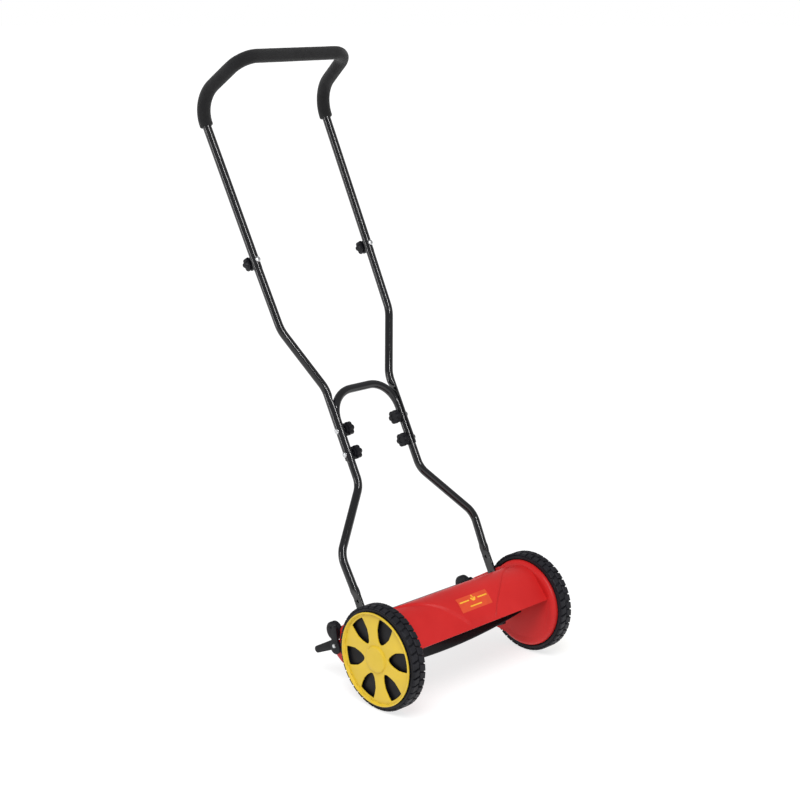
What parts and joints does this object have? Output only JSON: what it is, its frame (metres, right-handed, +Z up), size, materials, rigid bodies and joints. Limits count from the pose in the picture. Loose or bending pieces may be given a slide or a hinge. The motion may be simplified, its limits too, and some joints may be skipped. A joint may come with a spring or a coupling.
{
  "type": "reel mower",
  "caption": "Push reel mower: two ribbed wheels geared to a helical-blade reel under a curved shield, height rollers behind, and a sectional tubular handle with a foam grip.",
  "frame": {"origin": "on the ground, midway along the mower's overall width and length", "axes": "+Z up, -Y the way the mower is pushed, +X towards the operator's left"},
  "size_m": [0.4608, 0.6878, 1.2195],
  "materials": {
    "tyre": "semi-matt black moulded rubber",
    "black_plastic": "fine-grained black moulding",
    "yellow_plastic": "bright yellow satin moulding",
    "red_paint": "glossy red enamel on pressed steel",
    "black_enamel": "glossy black enamel on steel tube",
    "reel_paint": "satin black paint, bright where the edges are ground",
    "zinc": "zinc-plated steel",
    "dark_steel": "oiled dark steel",
    "ground_steel": "ground steel cutting edge",
    "foam": "matt closed-cell foam sleeve"
  },
  "bodies": {
    "chassis": {"side_plate_left": "red_paint", "side_plate_right": "red_paint", "stub_axle_left": "zinc", "stub_axle_right": "zinc", "reel_cover": "red_paint", "rear_tie_rod": "dark_steel", "reel_bearing_left": "dark_steel", "reel_bearing_right": "dark_steel", "knife_screw_left": "zinc", "knife_screw_right": "zinc", "bracket_bolt_left": "zinc", "bracket_bolt_right": "zinc", "lower_handle": "black_enamel", "middle_handle_left": "black_enamel", "middle_handle_right": "black_enamel", "upper_handle": "black_enamel", "foam_grip": "foam", "side_bolt_lower_left": "zinc", "side_bolt_lower_right": "zinc", "side_bolt_upper_left": "zinc", "side_bolt_upper_right": "zinc", "arch_bolt_lower_left": "zinc", "arch_bolt_lower_right": "zinc", "arch_bolt_upper_left": "zinc", "arch_bolt_upper_right": "zinc", "joint_bolt_left": "zinc", "joint_bolt_right": "zinc"},
    "wheel_left": {"wheel_tyre_left": "tyre", "wheel_core_left": "black_plastic", "hub_cap_left": "yellow_plastic"},
    "wheel_right": {"wheel_tyre_right": "tyre", "wheel_core_right": "black_plastic", "hub_cap_right": "yellow_plastic"},
    "pinion_left": {"drive_pinion_left": "dark_steel"},
    "pinion_right": {"drive_pinion_right": "dark_steel"},
    "reel": {"reel_shaft": "dark_steel", "reel_spider_1": "reel_paint", "reel_spider_2": "reel_paint", "reel_spider_3": "reel_paint", "reel_blade_1": "reel_paint", "reel_blade_2": "reel_paint", "reel_blade_3": "reel_paint", "reel_blade_4": "reel_paint", "reel_blade_5": "reel_paint"},
    "pawl_left": {"drive_pawl_left": "dark_steel"},
    "pawl_right": {"drive_pawl_right": "dark_steel"},
    "cutter_bar": {"bed_knife_bar": "reel_paint", "bed_knife": "ground_steel"},
    "height_carriage": {"height_bracket_left": "black_plastic", "height_bracket_right": "black_plastic", "roller_shaft": "dark_steel"},
    "roller_left": {"rear_roller_left": "black_plastic"},
    "roller_right": {"rear_roller_right": "black_plastic"},
    "arch_knob_lower_left": {"arch_knob_lower_left": "black_plastic"},
    "arch_knob_lower_right": {"arch_knob_lower_right": "black_plastic"},
    "arch_knob_upper_left": {"arch_knob_upper_left": "black_plastic"},
    "arch_knob_upper_right": {"arch_knob_upper_right": "black_plastic"},
    "joint_knob_left": {"joint_knob_left": "black_plastic"},
    "joint_knob_right": {"joint_knob_right": "black_plastic"}
  },
  "joints": [
    {"name": "wheel_left_spin", "type": "hinge", "parent": "chassis", "child": "wheel_left", "pos_m": [0, -0.24056, 0.1033], "axis": [1, 0, 0], "continuous": true},
    {"name": "wheel_right_spin", "type": "hinge", "parent": "chassis", "child": "wheel_right", "pos_m": [0, -0.24056, 0.1033], "axis": [1, 0, 0], "continuous": true},
    {"name": "reel_spin", "type": "hinge", "parent": "chassis", "child": "reel", "pos_m": [0, -0.20457, 0.10255], "axis": [1, 0, 0], "continuous": true},
    {"name": "pinion_left_spin", "type": "hinge", "parent": "chassis", "child": "pinion_left", "pos_m": [0, -0.20457, 0.10255], "axis": [1, 0, 0], "continuous": true},
    {"name": "pinion_right_spin", "type": "hinge", "parent": "chassis", "child": "pinion_right", "pos_m": [0, -0.20457, 0.10255], "axis": [1, 0, 0], "continuous": true},
    {"name": "pawl_left_slide", "type": "slide", "parent": "reel", "child": "pawl_left", "axis": [0, 0, 1], "range_m": [-0.001, 0.001]},
    {"name": "pawl_right_slide", "type": "slide", "parent": "reel", "child": "pawl_right", "axis": [0, 0, 1], "range_m": [-0.001, 0.001]},
    {"name": "bed_knife_adjust", "type": "hinge", "parent": "chassis", "child": "cutter_bar", "pos_m": [0, -0.15034, 0.06445], "axis": [1, 0, 0], "range_deg": [0, 3]},
    {"name": "cutting_height", "type": "hinge", "parent": "chassis", "child": "height_carriage", "pos_m": [0, -0.09006, 0.076], "axis": [-1, 0, 0], "range_deg": [0, 45]},
    {"name": "roller_left_spin", "type": "hinge", "parent": "height_carriage", "child": "roller_left", "pos_m": [0, -0.07656, 0.1013], "axis": [1, 0, 0], "continuous": true},
    {"name": "roller_right_spin", "type": "hinge", "parent": "height_carriage", "child": "roller_right", "pos_m": [0, -0.07656, 0.1013], "axis": [1, 0, 0], "continuous": true},
    {"name": "arch_knob_lower_left_turn", "type": "hinge", "parent": "chassis", "child": "arch_knob_lower_left", "pos_m": [0.069, -0.01304, 0.43242], "axis": [1, 0, 0], "range_deg": [0, 720]},
    {"name": "arch_knob_lower_right_turn", "type": "hinge", "parent": "chassis", "child": "arch_knob_lower_right", "pos_m": [-0.069, -0.01304, 0.43242], "axis": [1, 0, 0], "range_deg": [0, 720]},
    {"name": "arch_knob_upper_left_turn", "type": "hinge", "parent": "chassis", "child": "arch_knob_upper_left", "pos_m": [0.069, 0.01025, 0.47644], "axis": [1, 0, 0], "range_deg": [0, 720]},
    {"name": "arch_knob_upper_right_turn", "type": "hinge", "parent": "chassis", "child": "arch_knob_upper_right", "pos_m": [-0.069, 0.01025, 0.47644], "axis": [1, 0, 0], "range_deg": [0, 720]},
    {"name": "joint_knob_left_turn", "type": "hinge", "parent": "chassis", "child": "joint_knob_left", "pos_m": [0.15368, 0.18537, 0.80747], "axis": [0, 0.8839, -0.4676], "range_deg": [0, 720]},
    {"name": "joint_knob_right_turn", "type": "hinge", "parent": "chassis", "child": "joint_knob_right", "pos_m": [-0.15368, 0.18537, 0.80747], "axis": [0, 0.8839, -0.4676], "range_deg": [0, 720]}
  ],
  "couplings": [
    {"joint": "reel_spin", "follows": "wheel_left_spin", "ratio": 4},
    {"joint": "pinion_left_spin", "follows": "wheel_left_spin", "ratio": 4},
    {"joint": "pinion_right_spin", "follows": "wheel_right_spin", "ratio": 4}
  ]
}
